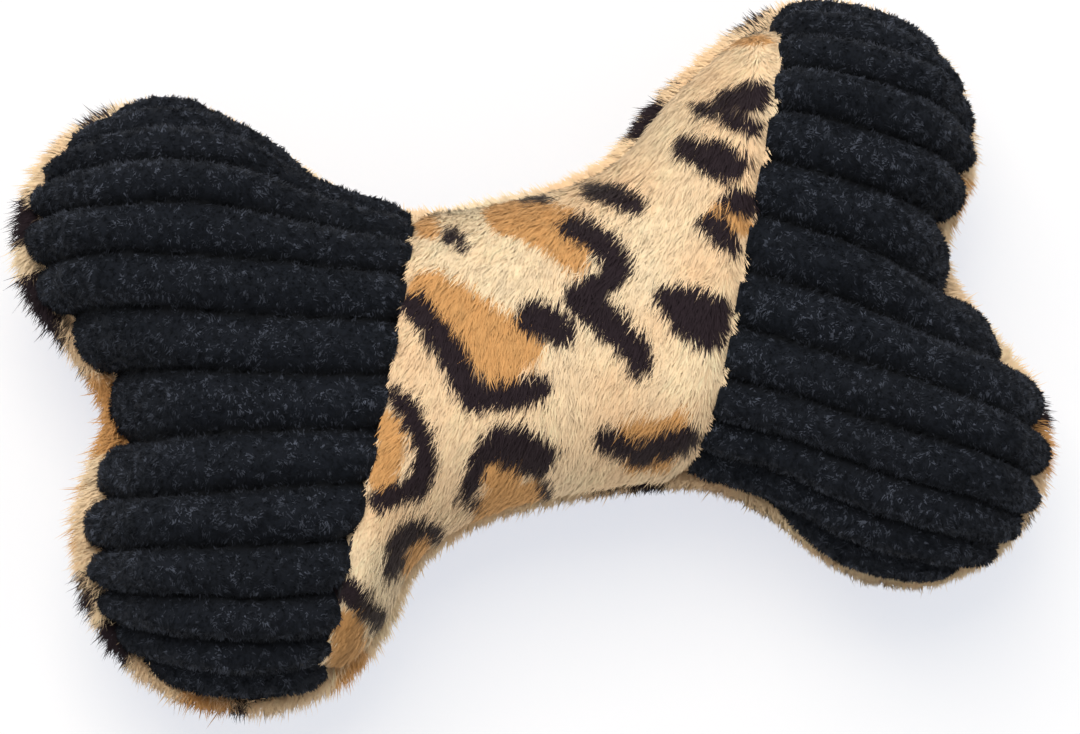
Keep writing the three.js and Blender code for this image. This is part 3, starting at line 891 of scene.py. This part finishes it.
# corduroy: rounded wales a fixed width apart over the cloth, covered in short nap
cord = {
    "waleWidth": 10.2,
    "waleHeight": 4.4,
    "sink": 0.5,  # the wales' tops lie this far under the nap's surface
    "roundness": 1.65,
    "tuckShare": 0.7,
    "left": {"middle": (-61.75, -0.5), "angle": -7.0, "groove": 1.7, "endSwell": 1.2},
    "right": {"middle": (61.5, 2.75), "angle": -22.0, "groove": -5.0, "endSwell": 0.8},
    "wander": (22.0, 0.5),  # how often and how far
    "lumps": (13.0, 0.18),
    "ripples": (2.4, 0.25),
    "fade": (0.5, 5.0),  # up from the sewn edge, where the grooves get their full depth
    "fadeLeast": 0.5,
    "fingerRise": (3, 12),  # wales end in rounded fingers at the sewn edge
    "fingerCrown": (0.2, 0.8),
    "ribFrom": (0.05, 0.75),  # where the painted shade in the grooves gives way to the rib's own colour
    "ribColour": linear(12, 16, 23),
    "grooveShadeColour": linear(3, 4, 5),
    "seed": 23,
}
nap = {
    "strands": 48000,
    "length": 0.9,
    "lengthShare": (0.7, 1.1),
    "width": 0.32,
    "widthShare": (0.7, 1.3),
    "grooveDensity": 0.35,
    "stand": 0.6,
    "lay": (1.3, 0.9),
    "stray": 0.15,
    "droop": (0.0, -0.25, 0.0),
    "tufts": (0.9, 0.6),
    "highlightCurls": [(0.9, 0.66), (7.0, 0.15)],  # curly clumps of nap given painted highlights
    "light": (0.08, 0.12),
    "darkColour": linear(9, 13, 19),
    "highlightColour": linear(91, 96, 108),
    # painted shade: how dark the nap is made down in the grooves
    "grooveShade": 0.3,
    "roll": 1.5,
}


def clothAcross(end, longest=60, widest=75, step=0.25, levelBand=15):
    # how far over the cloth each place lies from the panel's middle line, across the wales
    angle = math.radians(end["angle"])
    along = np.array([math.cos(angle), math.sin(angle)])
    across = np.array([-along[1], along[0]])
    aLine = np.arange(-longest, longest + 1, 1.0)
    vLine = np.arange(-widest, widest + step / 2, step)
    height = np.full((len(aLine), len(vLine)), seamZ)
    for i, a in enumerate(aLine):
        for j, v in enumerate(vLine):
            hit = topAt(*(np.array(end["middle"]) + along * a + across * v))[0]
            if hit is not None:
                height[i, j] = max(hit.z, seamZ)
    fall = np.gradient(height, step, axis=1)
    outward = np.where(vLine > 0, fall, -fall) * (np.abs(vLine) > levelBand)
    length = np.sqrt(1 + np.minimum(outward, 0) ** 2) * step
    over = np.cumsum(length, axis=1)
    over = over - over[:, [np.searchsorted(vLine, 0)]]

    def measure(points):
        rel = points[:, :2] - np.array(end["middle"])
        a = np.clip(rel @ along - aLine[0], 0, len(aLine) - 1.001)
        v = np.clip((rel @ across - vLine[0]) / step, 0, len(vLine) - 1.001)
        i, j = a.astype(int), v.astype(int)
        fa, fv = a - i, v - j
        return (over[i, j] * (1 - fa) * (1 - fv) + over[i + 1, j] * fa * (1 - fv)
                + over[i, j + 1] * (1 - fa) * fv + over[i + 1, j + 1] * fa * fv)
    return measure


def cordPanel(name, panel, end, seed):
    rng = np.random.default_rng(seed)
    points, normals = panel["points"], panel["normals"]
    above = points[:, 2] - seamZ
    over = clothAcross(end)(points) + varied(points, cord["wander"], seed)
    phase = (over - end["groove"]) / cord["waleWidth"]
    share = np.abs(2 * (phase - np.floor(phase)) - 1)
    bend = cord["roundness"]
    bump = (1 - np.minimum(share, 1) ** bend) ** (1 / bend)
    fade = atLeast(cord["fadeLeast"], smoothStep(*cord["fade"], above))
    lump = 1 + varied(points, cord["lumps"], seed + 1)
    lift = cord["waleHeight"] * (bump * lump - 1) * fade - cord["sink"]
    lift = lift + varied(points, cord["ripples"], seed + 2)
    low = 1 - smoothStep(*cord["fingerRise"], above)
    lift = lift + end["endSwell"] * low * smoothStep(*cord["fingerCrown"], bump)
    shaped = points + normals * (lift - panel["tuck"] * cord["tuckShare"])[:, None]
    # painted shade: the cloth's colour darkens from the rib's top down into each groove
    depth = smoothStep(*cord["ribFrom"], bump)[:, None]
    tone = blend(cord["grooveShadeColour"], cord["ribColour"], depth)
    skin, shapedNormals = panelMesh(name, panel, shaped, tone)
    density = atLeast(nap["grooveDensity"], depth[:, 0])
    count = nap["strands"]
    roots, out, deep = scatter(shaped, panel["faces"], density, count, rng, shapedNormals, depth)
    out = unit(out)
    lay = varied(roots, nap["lay"], seed + 10, 3)
    way = nap["stand"] * out + lay + nap["stray"] * rng.normal(size=(count, 3)) + np.array(nap["droop"])
    tips = roots + unit(way) * (nap["length"] * rng.uniform(*nap["lengthShare"], count))[:, None]
    tuftSize, pull = nap["tufts"]
    tips = tips + pull * tufted(roots, tuftSize, seed + 30)
    # painted highlights: nap strands lightened in curly clumps and at random
    highlightCurl = sum(varied(roots, change, seed + 50 + k) for k, change in enumerate(nap["highlightCurls"]))
    least, most = nap["light"]
    light = np.clip(least + rng.random(count) ** 3 * most + highlightCurl, 0, 1)[:, None]
    tone = blend(nap["darkColour"], nap["highlightColour"], light)
    # painted shade: nap rooted in the grooves is darkened
    tone = tone * atLeast(nap["grooveShade"], deep)
    width = nap["width"] * rng.uniform(*nap["widthShare"], count)
    cover = strandMesh(name + "_nap", roots, None, tips, width, tone, out, nap["roll"], rng)
    for piece in (skin, cover):
        piece.data.materials.append(cordFinish)
    return skin, cover


leftPanel = cutPanel(True, None, panels["leftJoin"])
leftSkin, leftNap = cordPanel("cord_left", leftPanel, cord["left"], cord["seed"])
rightPanel = cutPanel(True, panels["rightJoin"])
rightSkin, rightNap = cordPanel("cord_right", rightPanel, cord["right"], cord["seed"] + 100)
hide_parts("front_left_panel")
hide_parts("front_right_panel")
softPieces += [(p, "black_corduroy") for p in (leftSkin, leftNap, rightSkin, rightNap)]
print("corduroy:", 2 * nap["strands"], "nap strands")


# thread: a row of separate stitches along each seam, thinner at their ends
thread = {
    "stitch": 3.0,
    "gap": 0.5,
    "diameter": 0.8,
    "sides": 6,
    "rings": 6,
    "edgeInset": 3.6,
    "closingHalf": 30,
}


def stitchRow(name, line, look=0.2, thin=0.35, dip=0.12, twist=1.2):
    along = lengthAlong(line)

    def at(s):
        return np.stack([np.interp(s, along, line[:, i]) for i in range(3)], -1)

    sides, rings = thread["sides"], thread["rings"]
    starts = np.arange(0, along[-1] - thread["stitch"], thread["stitch"])
    share = np.arange(rings) / (rings - 1)
    s = starts[:, None] + share * (thread["stitch"] - thread["gap"])
    way = unit(at(s + look) - at(np.maximum(s - look, 0)))
    side = unit(np.cross(way, np.array([0, 0, 1.0])))
    other = np.cross(way, side)
    full = np.sin(math.pi * (dip + (1 - 2 * dip) * share))
    radius = thread["diameter"] / 2 * atLeast(thin, full)
    turn = (2 * math.pi * np.arange(sides) / sides + twist * share[:, None])[:, :, None]
    ring = np.cos(turn) * side[:, :, None] + np.sin(turn) * other[:, :, None]
    points = at(s)[:, :, None] + radius[:, None, None] * ring
    faces = []
    for low in range(0, (rings - 1) * sides, sides):
        for k in range(sides):
            n = (k + 1) % sides
            faces += [[low + k, low + n, low + sides + n], [low + k, low + sides + n, low + sides + k]]
    top = (rings - 1) * sides
    for k in range(1, sides - 1):
        faces += [[0, k + 1, k], [top, top + k, top + k + 1]]
    mesh = triangleMesh(name, points.reshape(-1, 3), repeated(faces, len(starts), rings * sides))
    mesh.materials.append(threadFinish)
    return addObject(name, mesh)


def joinLine(joinX, span=(-60, 62), step=0.5, rise=4, depth=1.5):
    # just under the crown of the cover along a join
    line = []
    for y in np.arange(*span, step):
        hit, facing = topAt(joinX + panels["slant"] * y, y)
        if hit is not None and hit.z > seamZ + rise:
            line.append(hit - facing * (panels["joinTuck"] + depth))
    return np.array(line)


seamRow = np.c_[edgeLine + edgeInward * thread["edgeInset"], np.full(len(edgeLine), seamZ)]
closing = (np.abs(seamRow[:, 0]) < thread["closingHalf"]) & (seamRow[:, 1] < 0)
first = np.argmax(closing & ~np.roll(closing, 1))
seamRow = np.roll(seamRow, -first, 0)
closing = np.roll(closing, -first)
threads = {
    "thread_closing": (seamRow[closing], "closing_stitch"),
    "thread_edge": (seamRow[~closing], "edge_stitch"),
    "thread_left_join": (joinLine(panels["leftJoin"]), "left_join_stitch"),
    "thread_right_join": (joinLine(panels["rightJoin"]), "right_join_stitch"),
}
for name, (line, node) in threads.items():
    row = stitchRow(name, line)
    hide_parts(node)
    softPieces.append((row, "sewing_thread"))
print("thread:", len(threads), "rows")


# filling: each handful of fibre, lumpy where it is pressed together
filling = {"voxel": 3.0, "shrink": 3.0, "lumps": 0.9, "lumpSize": 7.0, "seed": 64}
fills = sorted(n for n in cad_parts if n.startswith("fill_"))
for k, node in enumerate(fills):
    handful = addObject(node.replace("fill_", "fibre_"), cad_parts[node].data.copy())
    handful.data.materials.clear()
    handful.data = evenMesh(handful, filling["voxel"], rounds=4)
    points = corners(handful.data)
    facing = np.array([v.normal for v in handful.data.vertices])
    lump = noise(points, filling["lumpSize"], filling["seed"] + k)
    move = filling["lumps"] * (lump - 1) / 2 - filling["shrink"]
    setCorners(handful.data, points + facing * move[:, None])
    handful.data.shade_smooth()
    handful.data.materials.append(fillFinish)
    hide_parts(node)
    softPieces.append((handful, "fibre_fill"))
print("filling:", len(fills), "handfuls")


# squeaker: moulded plastic, thin film for the reed
bulbFinish = grainFinish("squeaker plastic", {
    "colour": linear(233, 231, 223), "flecks": (1800, 0.06, 0.08),
    "shader": {"Roughness": 0.42}, "bump": 0.1}, bumpDepth=0.1)
filmFinish = grainFinish("reed film", {
    "colour": linear(213, 217, 220), "flecks": (900, 0.06, 0.08),
    "shader": {"Roughness": 0.25}, "bump": 0.1}, bumpDepth=0.1)
for node in ("squeaker_base", "squeaker_dome", "reed_holder", "reed_clip", "reed_tongue"):
    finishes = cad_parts[node].data.materials
    finishes.clear()
    finishes.append(filmFinish if node == "reed_tongue" else bulbFinish)

# each soft piece is attached to the toy's body and given its own mesh
for piece, slotName in softPieces:
    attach(piece, "toy")
    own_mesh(piece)
print("pieces:", len(softPieces), "soft")


# floor, light and camera
studio = {
    "floorColour": (0.92, 0.92, 0.92),
    "floorSeen": (0.45, 0.40, 0.31),  # lit share of the paper as the camera sees it
    "floorGlow": (0.54, 0.59, 0.69),  # and its even share, so that shadows stay faint
    "floorReach": 3,
    "floorDrop": 0.0004,
    "world": 0.60,
    "farLamp": 0.065,  # what the lamp adds at the floor's far edge
    "key": 29.0,
    "keyPlace": (-0.30, 0.95, 1.86),
    "keySize": 1.3,
    "aim": (-0.91, -3.22, 28.0),
    "turnLeft": 8.0,  # degrees from straight above towards -X, then towards -Y
    "turnLow": 4.0,
    "roll": 7.415,
    "distance": 1100.0,
    "lens": 201.4,
}


def showAs(tree, lit, seen, output):
    # lit for the light that it throws, seen where the camera looks
    lightPath = addNode(tree, "LightPath", {}).outputs
    looked = lightPath["Is Camera Ray"]
    for ray in ("Is Glossy Ray", "Is Transmission Ray"):
        added = addNode(tree, "Math", {0: looked, 1: lightPath[ray]}, "ADD")
        added.use_clamp = True
        looked = added.outputs[0]
    either = addNode(tree, "MixShader", {0: looked, 1: lit.outputs[0], 2: seen.outputs[0]})
    setInputs(tree, tree.nodes[output], {"Surface": either.outputs[0]})


far = studio["floorReach"]
floorMesh = bpy.data.meshes.new("floor")
floorMesh.from_pydata([(-far, -far, 0), (far, -far, 0), (far, far, 0), (-far, far, 0)], [], [(0, 1, 2, 3)])
floor = addObject("floor", floorMesh)
floor.location.z = -studio["floorDrop"]
paper = bpy.data.materials.new("white paper")
paper.use_nodes = True
tree = paper.node_tree
sheet = tree.nodes["Principled BSDF"]
setInputs(tree, sheet, {"Base Color": (*studio["floorColour"], 1), "Roughness": 0.9,
                        "Specular IOR Level": 0.1})
matt = addNode(tree, "BsdfDiffuse", {"Color": (*studio["floorSeen"], 1)})
glow = addNode(tree, "Emission", {"Color": (*studio["floorGlow"], 1)})
seen = addNode(tree, "AddShader", {0: matt.outputs[0], 1: glow.outputs[0]})
showAs(tree, sheet, seen, "Material Output")
floorMesh.materials.append(paper)

# the backdrop has the far floor's colour, so that no line shows between them
world = bpy.data.worlds.new("studio")
world.use_nodes = True
tree = world.node_tree
around = tree.nodes["Background"]
setInputs(tree, around, {"Color": (1, 1, 1, 1), "Strength": studio["world"]})
farLight = studio["world"] + studio["farLamp"]
farFloor = [g + s * farLight for g, s in zip(studio["floorGlow"], studio["floorSeen"])]
showAs(tree, around, addNode(tree, "Background", {"Color": (*farFloor, 1)}), "World Output")
scene.world = world
lamp = bpy.data.lights.new("key", "AREA")
lamp.energy = studio["key"]
lamp.size = studio["keySize"]
key = addObject("key", lamp)
key.location = studio["keyPlace"]
key.rotation_mode = "QUATERNION"
key.rotation_quaternion = (-Vector(studio["keyPlace"])).to_track_quat("-Z", "Y")

left, low = math.radians(studio["turnLeft"]), math.radians(studio["turnLow"])
backward = Vector((-math.sin(left) * math.cos(low), -math.sin(low), math.cos(left) * math.cos(low)))
right = Vector((0, 1, 0)).cross(backward).normalized()
upward = backward.cross(right)
roll = math.radians(studio["roll"])
across = right * math.cos(roll) - upward * math.sin(roll)
above = right * math.sin(roll) + upward * math.cos(roll)
lensData = bpy.data.cameras.new("camera")
lensData.lens = studio["lens"]
lensData.sensor_width = 36.0
lensData.clip_end = 20
camera = addObject("camera", lensData)
place = (Vector(studio["aim"]) + backward * studio["distance"]) * mm
camera.matrix_world = Matrix([*zip(across, above, backward, place), (0, 0, 0, 1)])
scene.camera = camera
